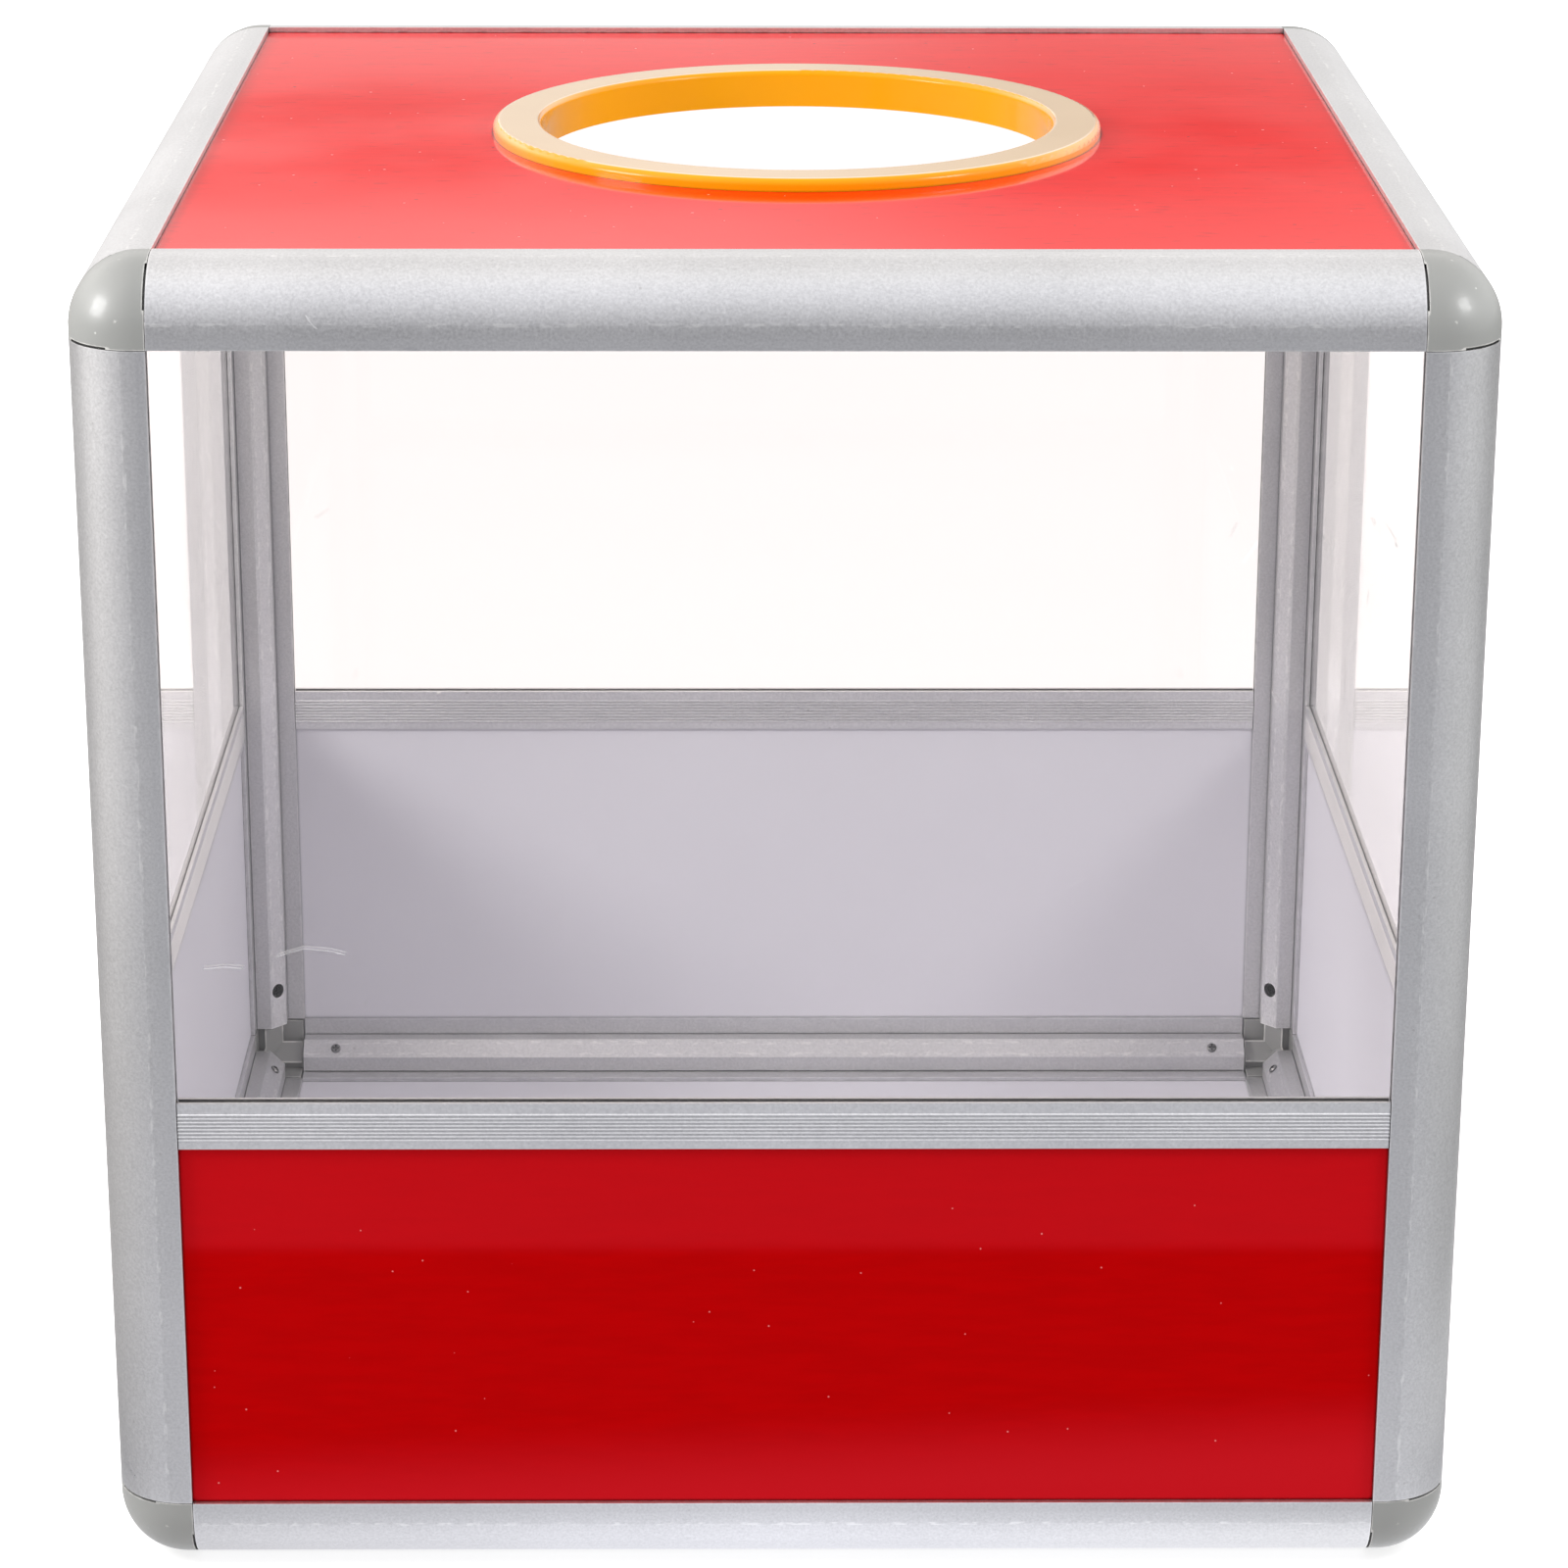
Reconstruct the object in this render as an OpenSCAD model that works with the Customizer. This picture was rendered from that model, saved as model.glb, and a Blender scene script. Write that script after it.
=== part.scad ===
// Raffle box: a see-through cube held by aluminium edge extrusions and plastic corners.
// Clear windows stand over red lower panels, and a plastic ring lines the hand hole in the top.
// The origin is the middle of the footprint on the ground: +X right, +Y back, +Z up.

/* [Box] */
// Outside width, left to right
box_w = 300; // [240:5:400]
// Outside depth, front to back
box_d = 300; // [240:5:400]
// Outside height of the frame, without the ring
box_h = 300; // [240:5:400]
// Height of the middle rails' centre line above the ground
waist_z = 109; // [70:1:160]

/* [Edge extrusion] */
// Width of each leg, from the outside corner to the tips of its flanges
leg_w = 17.6; // [16.5:0.1:20]
// Radius of the rounded outside edge
nose_r = 15.4; // [14:0.1:16]
// Thickness of the outer flange, over the panel slot
skin_t = 1.25; // [1.1:0.05:1.6]
// Width of the panel slot
slot_w = 2.6; // [2.2:0.1:3]
// Thickness of the inner flange, under the panel slot
lip_t = 1.05; // [0.8:0.05:1.4]
// Width of the hollow core
core_w = 13; // [12.4:0.1:13.5]
// Leg of the 45 degree flat along the core's inner edge
core_flat = 3.9; // [3:0.1:4.2]
// How far the panel slots cut into the core
slot_bite = 1.5; // [1:0.1:1.6]
// Wall around the hollow core
wall_t = 1.1; // [0.8:0.05:1.3]
// Width and depth of the groove in the core along the foot of each inner flange
foot_groove = 0.3; // [0.1:0.05:0.4]

/* [Corner pieces] */
// Gap seen between a bar's end and the corner piece
seam = 0.15; // [0.1:0.05:0.4]
// How far the inner block stands back from the core's faces
block_back = 0.9; // [0.6:0.1:1.2]
// Leg of the 45 degree flat along the inner block's edges
block_flat = 5.4; // [4.6:0.1:5.6]
// Length of each prong inside its bar
prong_len = 20; // [16:0.5:30]
// Clearance between a prong and the walls of its bar
prong_gap = 0.25; // [0.15:0.05:0.4]
// Thickness of the tabs behind the panels' corners
tab_t = 1.2; // [1:0.1:2]
// How far the tabs and the block stay back from the corner piece's ends
tab_back = 0.4; // [0.1:0.1:0.6]
// Width of the pockets between the tabs and the block
pocket_w = 2; // [1:0.1:2.6]
// How far the pockets go in under the block, from the floor of the panel slots
pocket_in = 1.2; // [0.6:0.1:1.3]

/* [Middle rails] */
// Height of the rail
waist_h = 10.75; // [9:0.25:14]
// Thickness of the lips that hold the panels
waist_lip_t = 0.95; // [0.8:0.05:1.1]
// Thickness of the web between the upper and the lower slot
web_t = 1.2; // [0.8:0.1:2]
// Gap at each end of the rail
waist_gap = 0.2; // [0.1:0.05:0.4]
// Number of ribs on each face
rib_count = 8; // [4:1:9]
// Distance from rib to rib
rib_pitch = 0.85; // [0.7:0.05:0.9]
// Width of a rib's foot
rib_foot = 0.66; // [0.5:0.02:0.68]
// Width of a rib's crest
rib_crest = 0.2; // [0.1:0.02:0.4]
// Height of a rib
rib_h = 0.24; // [0.1:0.02:0.25]
// How far the ribs' middle lies below the rail's
rib_drop = 0.35; // [0:0.05:0.6]

/* [Panels] */
// Thickness of the coloured facing sheet on the top and lower panels
facing_t = 0.3; // [0.2:0.05:0.6]
// Play of a panel across its slot
slot_play = 0.2; // [0.1:0.05:0.4]
// Gap between a panel's edge and the floor of its slot
edge_gap = 0.4; // [0.2:0.1:0.8]
// Gap between a panel's edge and the middle rail's web
web_gap = 0.2; // [0.1:0.1:0.6]

/* [Ring] */
// Inside radius of the ring, which is the hand hole
hole_r = 60; // [45:1:75]
// Width of the ring's flange
flange_w = 11.4; // [6:0.2:16]
// Thickness of the flange
flange_t = 2.85; // [2:0.05:4]
// Radius of the flange's outer top edge
flange_edge_r = 1.6; // [0.8:0.1:1.9]
// Radius of the flange's inner top edge
mouth_edge_r = 1.2; // [0.4:0.1:1.8]
// Wall of the sleeve that goes through the panel
sleeve_t = 2.4; // [1.6:0.1:4]
// How far the sleeve reaches below the panel's outside face
sleeve_drop = 6; // [3:0.25:20]
// Clearance between the sleeve and the hole in the panel
sleeve_gap = 0.2; // [0.1:0.05:0.4]
// Distance of the ring's centre to the right of the box's centre
ring_x = 3.8; // [-20:0.2:20]
// Distance of the ring's centre behind the box's centre
ring_y = 3; // [-20:0.2:20]

/* [Screws] */
// Distance from a post's end to its screw
post_screw_in = 10.7; // [6:0.1:13]
// Distance from a rail's end to its screw
rail_screw_in = 9; // [6:0.1:13]
// Radius of the hole in a post's flat that gives access to the screw
post_hole_r = 2.05; // [1.9:0.05:2.1]
// Radius of the post screw's head
post_head_r = 1.8; // [1.4:0.05:1.85]
// Height of the post screw's head
post_head_h = 1.7; // [1:0.1:1.8]
// Radius of the post screw's shank
post_shank_r = 1.1; // [0.8:0.05:1.3]
// Length of the post screw's shank in the prong
post_bite = 4; // [2.5:0.1:4.4]
// Radius of the rail screw's head
rail_head_r = 1.3; // [1:0.05:1.6]
// Height of the rail screw's head
rail_head_h = 0.6; // [0.4:0.05:1]
// Radius of the rail screw's shank
rail_shank_r = 0.8; // [0.5:0.05:0.9]
// Length of the rail screw's shank in the prong
rail_bite = 3; // [2:0.1:4.2]
// Clearance around a shank in its hole
shank_gap = 0.08; // [0.05:0.01:0.15]
// Width of the cross slots in the heads
cross_w = 0.45; // [0.3:0.05:0.6]
// Depth of the cross slots
cross_depth = 0.35; // [0.2:0.05:0.38]

/* [Hidden] */
$fn = 72;
// Overrun of every cut past the face that it opens
overrun = 1;
// The share of a head's radius that its cross slots reach, and that its crown keeps flat
cross_share = 0.7;
crown_share = 0.72;
// The share of a head's height that is its straight rim, and of a shank that is its point
rim_share = 0.45;
point_share = 0.3;

// Depths of the section's faces below the outside of the box
lip_face = skin_t + slot_w + lip_t;
slot_floor = core_w - slot_bite;
// The hollow core's inside faces: beside the slots, and beyond the inner flanges
chamber_narrow = slot_floor - wall_t;
chamber_wide = core_w - wall_t;
// Along the core's flat both depths add up to this, and to that inside its wall
flat_sum = 2 * core_w - core_flat;
chamber_sum = flat_sum - wall_t * sqrt(2);
// The same for the corner pieces' inner block and for the prongs
block_w = core_w - block_back;
block_sum = 2 * block_w - block_flat;
prong_w = chamber_narrow - prong_gap;
tab_face = skin_t + slot_w;
tab_tip = leg_w - tab_back;
// A bar starts where the corner piece ends, and a seam after it
bar_start = leg_w + seam;
// Depth of the middle rails' outer face, and of their ribs' band along the height
waist_face = skin_t - waist_lip_t;
waist_t = slot_w + 2 * waist_lip_t;
rib_band = (rib_count - 1) * rib_pitch;
// A panel's thickness, and the depth of its outside face
panel_t = slot_w - slot_play;
panel_face = skin_t + slot_play / 2;
board_t = panel_t - facing_t;
// Where a panel's edges lie in the posts and rails, and at the middle rail
panel_edge = slot_floor + edge_gap;
lower_top_z = waist_z - web_t / 2 - web_gap;
window_foot_z = waist_z + web_t / 2 + web_gap;
window_top_z = box_h - panel_edge;
// Radii of the ring, and the height that its flange rests on
sleeve_r = hole_r + sleeve_t;
ring_r = hole_r + flange_w;
panel_hole_r = sleeve_r + sleeve_gap;
ring_seat_z = box_h - panel_face;
// Where the screws' axes cross the flats of the core and of the prong
flat_mid = flat_sum / 2;
prong_mid = block_sum / 2;
// The way between the prong's flat and the core's flat, along a screw
flat_way = (flat_mid - prong_mid) * sqrt(2);

// Turns that carry a section drawn along +Z onto +X, +Y and +Z, with the outside corner kept
AXIS_TURNS = [[90, 0, 90], [-90, -90, 0], [0, 0, 0]];

// The turn that carries a piece from the front side to another side, seen from above
function side_turn(side) = side == "right" ? 90 : side == "back" ? 180 : side == "left" ? 270 : 0;
// The front and the back run along X, the left and the right along Y
function runs_along_x(side) = side == "front" || side == "back";
// Distance of a side from the box's middle, and its length
function side_away(side) = (runs_along_x(side) ? box_d : box_w) / 2;
function side_span(side) = runs_along_x(side) ? box_w : box_d;

// Square with one corner cut off at 45 degrees; both depths add up to sum along the cut
module clipped_square(size, sum) {
    polygon([[0, 0], [size, 0], [size, sum - size], [sum - size, size], [0, size]]);
}

// What the rounded outside edge leaves of the square corner
module nose_cut() {
    difference() {
        translate([-overrun, -overrun]) square(nose_r + overrun);
        translate([nose_r, nose_r]) circle(r = nose_r);
    }
}

// The hollow of the core, narrow beside the slots and wide beyond the inner flanges
module core_chamber() {
    flat_end = chamber_sum - chamber_wide;
    intersection() {
        translate([nose_r, nose_r]) circle(r = nose_r - wall_t);
        polygon([
            [0, 0], [chamber_narrow, 0], [chamber_narrow, lip_face], [chamber_wide, lip_face],
            [chamber_wide, flat_end], [flat_end, chamber_wide],
            [lip_face, chamber_wide], [lip_face, chamber_narrow], [0, chamber_narrow]
        ]);
    }
}

// Section of the edge extrusion, with its outside corner at the origin and a leg along each axis
module edge_section() {
    flat_end = flat_sum - core_w;
    slot_reach = leg_w - slot_floor + overrun;
    difference() {
        polygon([
            [0, 0], [leg_w, 0], [leg_w, lip_face], [core_w, lip_face],
            [core_w, flat_end], [flat_end, core_w],
            [lip_face, core_w], [lip_face, leg_w], [0, leg_w]
        ]);
        nose_cut();
        core_chamber();
        translate([slot_floor, skin_t]) square([slot_reach, slot_w]);
        translate([skin_t, slot_floor]) square([slot_w, slot_reach]);
        translate([core_w - foot_groove, lip_face]) square([2 * foot_groove, foot_groove]);
        translate([lip_face, core_w - foot_groove]) square([foot_groove, 2 * foot_groove]);
    }
}

// A piece whose axis runs out of the core's flat, standing at the given depth on the diagonal
module on_flat(depth, along) {
    translate([depth, depth, along]) rotate([0, 90, 45]) children();
}

// Edge extrusion with a screw hole near each end
module edge_bar(len, hole_in, screw_r) {
    difference() {
        linear_extrude(len) edge_section();
        for (along = [hole_in, len - hole_in]) {
            on_flat(prong_mid, along) cylinder(r = screw_r, h = flat_way + overrun);
        }
    }
}

// Places a piece drawn from an outside corner into the box: side is -1 or 1 along each axis
module at_corner(side_x, side_y, side_z) {
    translate([side_x * box_w / 2, side_y * box_d / 2, side_z > 0 ? box_h : 0])
        mirror([side_x > 0 ? 1 : 0, 0, 0])
        mirror([0, side_y > 0 ? 1 : 0, 0])
        mirror([0, 0, side_z > 0 ? 1 : 0])
        children();
}

// Places a piece on a side of the box: +X along the side, +Y inwards from the outside, +Z up
module on_side(side) {
    rotate([0, 0, side_turn(side)]) translate([0, -side_away(side), 0]) children();
}

module post(side_x, side_y) {
    color("silver") at_corner(side_x, side_y, -1)
        translate([0, 0, bar_start]) edge_bar(box_h - 2 * bar_start, post_screw_in, post_hole_r);
}

// Top or bottom rail of a side
module edge_rail(side, side_z) {
    len = side_span(side) - 2 * bar_start;
    color("silver") on_side(side)
        translate([-len / 2, 0, side_z > 0 ? box_h : 0])
        mirror([0, 0, side_z > 0 ? 1 : 0])
        rotate(AXIS_TURNS[0]) edge_bar(len, rail_screw_in, rail_shank_r + shank_gap);
}

// The outside of a corner piece: three rounded edges that meet in a ball
module ball_corner() {
    flat = leg_w - nose_r;
    intersection() {
        cube(leg_w);
        translate([nose_r, nose_r, nose_r]) {
            sphere(r = nose_r);
            for (turn = AXIS_TURNS) rotate(turn) {
                cylinder(r = nose_r, h = flat);
                translate([0, 0, -nose_r]) cube([flat, flat, leg_w]);
            }
        }
    }
}

module prong_section() {
    intersection() {
        translate([nose_r, nose_r]) circle(r = nose_r - wall_t - prong_gap);
        clipped_square(prong_w, block_sum);
    }
}

// Pilot hole in a prong for the screw that passes through its bar
module pilot_hole(screw_in, radius, bite) {
    on_flat(prong_mid, bar_start + screw_in)
        translate([0, 0, -bite - shank_gap]) cylinder(r = radius + shank_gap, h = bite + overrun);
}

// Plastic corner: ball outside, block and prongs inside, tabs behind the panels' corners
// with a pocket between each tab and the block
module corner_piece(side_x, side_y, side_z) {
    slot_reach = leg_w - slot_floor + overrun;
    pocket_start = slot_floor - pocket_in;
    prong_root = tab_tip - wall_t;
    color("darkgray") at_corner(side_x, side_y, side_z) difference() {
        union() {
            intersection() {
                ball_corner();
                for (turn = AXIS_TURNS) rotate(turn) {
                    linear_extrude(tab_tip) clipped_square(block_w, block_sum);
                    cube([leg_w, leg_w, skin_t]);
                }
            }
            for (turn = AXIS_TURNS) rotate(turn) {
                translate([slot_floor, slot_floor, tab_face])
                    cube([tab_tip - slot_floor, tab_tip - slot_floor, tab_t]);
                translate([0, 0, prong_root]) linear_extrude(leg_w + prong_len - prong_root) prong_section();
            }
        }
        for (turn = AXIS_TURNS) rotate(turn) {
            translate([slot_floor, slot_floor, skin_t]) cube([slot_reach, slot_reach, slot_w]);
            translate([pocket_start, pocket_start, tab_face + tab_t])
                cube([slot_reach + pocket_in, slot_reach + pocket_in, pocket_w]);
        }
        rotate(AXIS_TURNS[0]) pilot_hole(rail_screw_in, rail_shank_r, rail_bite);
        rotate(AXIS_TURNS[1]) pilot_hole(rail_screw_in, rail_shank_r, rail_bite);
        rotate(AXIS_TURNS[2]) pilot_hole(post_screw_in, post_shank_r, post_bite);
    }
}

// Ribs on one face of the middle rail, their feet on the line x = 0 and their crests beyond it
module waist_ribs() {
    for (i = [0 : rib_count - 1]) {
        translate([0, i * rib_pitch - rib_band / 2 - rib_drop])
            polygon([[0, -rib_foot / 2], [0, rib_foot / 2],
                     [-rib_h, rib_crest / 2], [-rib_h, -rib_crest / 2]]);
    }
}

// Section of the middle rail: +X inwards from the outside, +Y up from its centre line
module waist_section() {
    slot_h = (waist_h - web_t) / 2 + overrun;
    difference() {
        union() {
            translate([waist_face, -waist_h / 2]) square([waist_t, waist_h]);
            translate([waist_face, 0]) waist_ribs();
            translate([waist_face + waist_t, 0]) mirror([1, 0]) waist_ribs();
        }
        translate([skin_t, web_t / 2]) square([slot_w, slot_h]);
        translate([skin_t, -web_t / 2 - slot_h]) square([slot_w, slot_h]);
    }
}

module middle_rail(side) {
    len = side_span(side) - 2 * (leg_w + waist_gap);
    color("silver") on_side(side)
        translate([-len / 2, 0, waist_z])
        rotate(AXIS_TURNS[0]) linear_extrude(len) waist_section();
}

// Upright sheet on a side, from one height to another, behind the outside face by depth
module side_sheet(side, depth, thickness, low_z, high_z) {
    len = side_span(side) - 2 * panel_edge;
    on_side(side) translate([-len / 2, depth, low_z]) cube([len, thickness, high_z - low_z]);
}

module window(side) {
    color("lightcyan", 0.4) side_sheet(side, panel_face, panel_t, window_foot_z, window_top_z);
}

module lower_board(side) {
    color("white") side_sheet(side, panel_face + facing_t, board_t, panel_edge, lower_top_z);
}

module lower_facing(side) {
    color("firebrick") side_sheet(side, panel_face, facing_t, panel_edge, lower_top_z);
}

// Level sheet that fills the slots of the four top or bottom rails
module level_sheet(low_z, thickness) {
    size_x = box_w - 2 * panel_edge;
    size_y = box_d - 2 * panel_edge;
    translate([-size_x / 2, -size_y / 2, low_z]) cube([size_x, size_y, thickness]);
}

module hand_hole_cut() {
    translate([ring_x, ring_y, box_h - lip_face]) cylinder(r = panel_hole_r, h = lip_face + overrun);
}

module top_board() {
    color("white") difference() {
        level_sheet(box_h - panel_face - panel_t, board_t);
        hand_hole_cut();
    }
}

module top_facing() {
    color("tomato") difference() {
        level_sheet(box_h - panel_face - facing_t, facing_t);
        hand_hole_cut();
    }
}

module floor_board() {
    color("white") level_sheet(panel_face, panel_t);
}

// Square corner of size r to be cut away around a rounded edge whose centre is at the origin
module edge_cut(r) {
    difference() {
        square(r + overrun);
        circle(r = r);
    }
}

// Plastic ring: a flange that rests on the top panel, and a sleeve through it
module hand_ring() {
    color("orange") translate([ring_x, ring_y, ring_seat_z]) rotate_extrude() difference() {
        union() {
            translate([hole_r, 0]) square([flange_w, flange_t]);
            translate([hole_r, -sleeve_drop]) square([sleeve_t, sleeve_drop + flange_t / 2]);
        }
        translate([ring_r - flange_edge_r, flange_t - flange_edge_r]) edge_cut(flange_edge_r);
        translate([hole_r + mouth_edge_r, flange_t - mouth_edge_r]) mirror([1, 0]) edge_cut(mouth_edge_r);
    }
}

// Head with a straight rim, a sloping crown and a cross, standing on its seat
module screw_head(radius, height) {
    reach = radius * cross_share;
    difference() {
        union() {
            cylinder(r = radius, h = height * rim_share);
            translate([0, 0, height * rim_share])
                cylinder(r1 = radius, r2 = radius * crown_share, h = height * (1 - rim_share));
        }
        for (turn = [0, 90]) rotate([0, 0, turn])
            translate([-reach, -cross_w / 2, height - cross_depth])
            cube([2 * reach, cross_w, cross_depth + overrun]);
    }
}

// Shank that hangs below its seat and ends in a point
module screw_shank(radius, len) {
    point = len * point_share;
    translate([0, 0, point - len]) cylinder(r = radius, h = len - point);
    translate([0, 0, -len]) cylinder(r1 = radius / 2, r2 = radius, h = point);
}

// The dark screw that sits on the prong, inside the hole in a post
module post_screw() {
    on_flat(prong_mid, bar_start + post_screw_in) {
        screw_head(post_head_r, post_head_h);
        screw_shank(post_shank_r, post_bite);
    }
}

// The small screw whose head lies on a rail's flat
module rail_screw() {
    on_flat(flat_mid, bar_start + rail_screw_in) {
        screw_head(rail_head_r, rail_head_h);
        screw_shank(rail_shank_r, flat_way + rail_bite);
    }
}

module post_screws() {
    color("dimgray") for (side_x = [-1, 1], side_y = [-1, 1], side_z = [-1, 1])
        at_corner(side_x, side_y, side_z) post_screw();
}

// The rails' screws at the four corners of the top or the bottom
module rail_screws(side_z) {
    color("lightgray") for (side_x = [-1, 1], side_y = [-1, 1], turn = [AXIS_TURNS[0], AXIS_TURNS[1]])
        at_corner(side_x, side_y, side_z) rotate(turn) rail_screw();
}

post(-1, -1);  // post_front_left
post(1, -1);  // post_front_right
post(-1, 1);  // post_back_left
post(1, 1);  // post_back_right
edge_rail("front", 1);  // top_rail_front
edge_rail("right", 1);  // top_rail_right
edge_rail("back", 1);  // top_rail_back
edge_rail("left", 1);  // top_rail_left
edge_rail("front", -1);  // bottom_rail_front
edge_rail("right", -1);  // bottom_rail_right
edge_rail("back", -1);  // bottom_rail_back
edge_rail("left", -1);  // bottom_rail_left
corner_piece(-1, -1, 1);  // top_corner_front_left
corner_piece(1, -1, 1);  // top_corner_front_right
corner_piece(-1, 1, 1);  // top_corner_back_left
corner_piece(1, 1, 1);  // top_corner_back_right
corner_piece(-1, -1, -1);  // bottom_corner_front_left
corner_piece(1, -1, -1);  // bottom_corner_front_right
corner_piece(-1, 1, -1);  // bottom_corner_back_left
corner_piece(1, 1, -1);  // bottom_corner_back_right
middle_rail("front");  // middle_rail_front
middle_rail("right");  // middle_rail_right
middle_rail("back");  // middle_rail_back
middle_rail("left");  // middle_rail_left
window("front");  // window_front
window("right");  // window_right
window("back");  // window_back
window("left");  // window_left
lower_board("front");  // lower_board_front
lower_board("right");  // lower_board_right
lower_board("back");  // lower_board_back
lower_board("left");  // lower_board_left
lower_facing("front");  // lower_facing_front
lower_facing("right");  // lower_facing_right
lower_facing("back");  // lower_facing_back
lower_facing("left");  // lower_facing_left
top_board();
top_facing();
floor_board();
hand_ring();
post_screws();
rail_screws(1);  // top_rail_screws
rail_screws(-1);  // bottom_rail_screws
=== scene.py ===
"""Raffle box in a plain studio: aluminium edge bars, grey corner pieces, clear windows,
red panels and an orange ring round the hand hole. Metres, in the frame of the CAD model."""
import math

import bpy
from mathutils import Matrix, Vector

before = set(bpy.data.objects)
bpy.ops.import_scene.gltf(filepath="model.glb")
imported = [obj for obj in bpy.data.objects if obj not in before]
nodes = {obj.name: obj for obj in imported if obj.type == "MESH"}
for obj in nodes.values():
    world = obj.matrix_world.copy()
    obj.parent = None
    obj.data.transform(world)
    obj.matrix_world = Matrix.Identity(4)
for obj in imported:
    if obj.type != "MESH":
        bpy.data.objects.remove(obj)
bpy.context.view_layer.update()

MM = 0.001
ALONG = {"x": Vector((1, 0, 0)), "y": Vector((0, 1, 0)), "z": Vector((0, 0, 1))}
# Middle of the box, and half its size
BOX_MIDDLE = Vector((0, 0, 150)) * MM
BOX_HALF = 150 * MM


# Camera

LENS_MM, SENSOR_MM = 110.36, 36.0
CLIP_NEAR, CLIP_FAR = 0.05, 50.0
# Where the eye is
EYE = Vector((-9.76, -1118.0, 518.61)) * MM
# Turns of the line of sight, in radians: down, to the left, and round itself
LOOK_DOWN, LOOK_LEFT, TILT = 0.3291, 0.0098, -0.0028


def set_camera():
    """The photograph's viewpoint, worked out from the edges of the box."""
    data = bpy.data.cameras.new("photo_view")
    data.sensor_width = SENSOR_MM
    data.lens = LENS_MM
    data.clip_start, data.clip_end = CLIP_NEAR, CLIP_FAR
    ahead = Vector((0, math.cos(LOOK_DOWN), -math.sin(LOOK_DOWN)))
    right = ALONG["x"]
    down = ahead.cross(right)
    turn = Matrix.Rotation(-LOOK_LEFT, 3, "Z")
    ahead, right, down = turn @ ahead, turn @ right, turn @ down
    right, down = (
        math.cos(TILT) * right + math.sin(TILT) * down,
        math.cos(TILT) * down - math.sin(TILT) * right,
    )
    camera = bpy.data.objects.new("photo_view", data)
    axes = Matrix((right, -down, -ahead)).transposed().to_4x4()
    camera.matrix_world = Matrix.Translation(EYE) @ axes
    bpy.context.scene.collection.objects.link(camera)
    bpy.context.scene.camera = camera


# Helpers that build a material's nodes

def place_node(tree, kind, feeds=None, **settings):
    """Adds a node with its settings; feeds gives its inputs, each a value or an output to link."""
    node = tree.nodes.new(kind)
    for name, value in settings.items():
        setattr(node, name, value)
    for socket, value in (feeds or {}).items():
        if isinstance(value, bpy.types.NodeSocket):
            tree.links.new(value, node.inputs[socket])
        else:
            node.inputs[socket].default_value = value
    return node


def sums(tree, operation, *terms):
    """A Math node's result for one, two or three terms."""
    return place_node(tree, "ShaderNodeMath", dict(enumerate(terms)), operation=operation).outputs[0]


def vector_sums(tree, operation, *terms, out=0):
    """A Vector Math node's result; out=1 is its plain number."""
    node = place_node(tree, "ShaderNodeVectorMath", dict(enumerate(terms)), operation=operation)
    return node.outputs[out]


def spread(tree, value, low, high, to_low=0.0, to_high=1.0, smooth=True):
    """Maps value from low..high to to_low..to_high and holds it there."""
    node = place_node(
        tree,
        "ShaderNodeMapRange",
        {"Value": value, "From Min": low, "From Max": high, "To Min": to_low, "To Max": to_high},
        interpolation_type="SMOOTHSTEP" if smooth else "LINEAR",
    )
    return node.outputs["Result"]


def over_mm(tree, value, limits_mm, to_low=0.0, to_high=1.0):
    """Maps a length between two limits in mm, like spread."""
    return spread(tree, value, limits_mm[0] * MM, limits_mm[1] * MM, to_low, to_high)


def blend_colours(tree, share, first, second):
    """Mixes two colours by share."""
    node = place_node(tree, "ShaderNodeMix", data_type="RGBA")
    for socket, value in ((0, share), (6, first), (7, second)):
        if isinstance(value, bpy.types.NodeSocket):
            tree.links.new(value, node.inputs[socket])
        else:
            node.inputs[socket].default_value = value if socket == 0 else (*value, 1)
    return node.outputs[2]


def noise(tree, place, scale, detail=2.0, roughness=0.5):
    """Noise value at a place; scale is in repeats per metre."""
    feeds = {"Vector": place, "Scale": scale, "Detail": detail, "Roughness": roughness}
    return place_node(tree, "ShaderNodeTexNoise", feeds).outputs["Fac"]


def new_effect(name, inputs, outputs):
    """An empty shared effect (a shader node group) and its input and output nodes."""
    tree = bpy.data.node_groups.new(name, "ShaderNodeTree")
    for socket, kind, start in inputs:
        item = tree.interface.new_socket(socket, in_out="INPUT", socket_type=kind)
        if start is not None:
            item.default_value = start
    for socket, kind in outputs:
        tree.interface.new_socket(socket, in_out="OUTPUT", socket_type=kind)
    return tree, tree.nodes.new("NodeGroupInput").outputs, tree.nodes.new("NodeGroupOutput").inputs


def use_effect(tree, effect, **feeds):
    """Places a shared effect in a material and returns its outputs."""
    node = place_node(tree, "ShaderNodeGroup", node_tree=effect)
    for name, value in feeds.items():
        socket = node.inputs[name.replace("_", " ").capitalize()]
        if isinstance(value, bpy.types.NodeSocket):
            tree.links.new(value, socket)
        else:
            socket.default_value = value
    return node.outputs


# Effects that several materials share

FLOAT, VECTOR, COLOUR = "NodeSocketFloat", "NodeSocketVector", "NodeSocketColor"
# How far a hairline wanders, in metres, and half its width, as a share of the cells that it runs between
HAIRLINE_SWING, HAIRLINE_WIDTH = 0.02, 0.006


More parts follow.
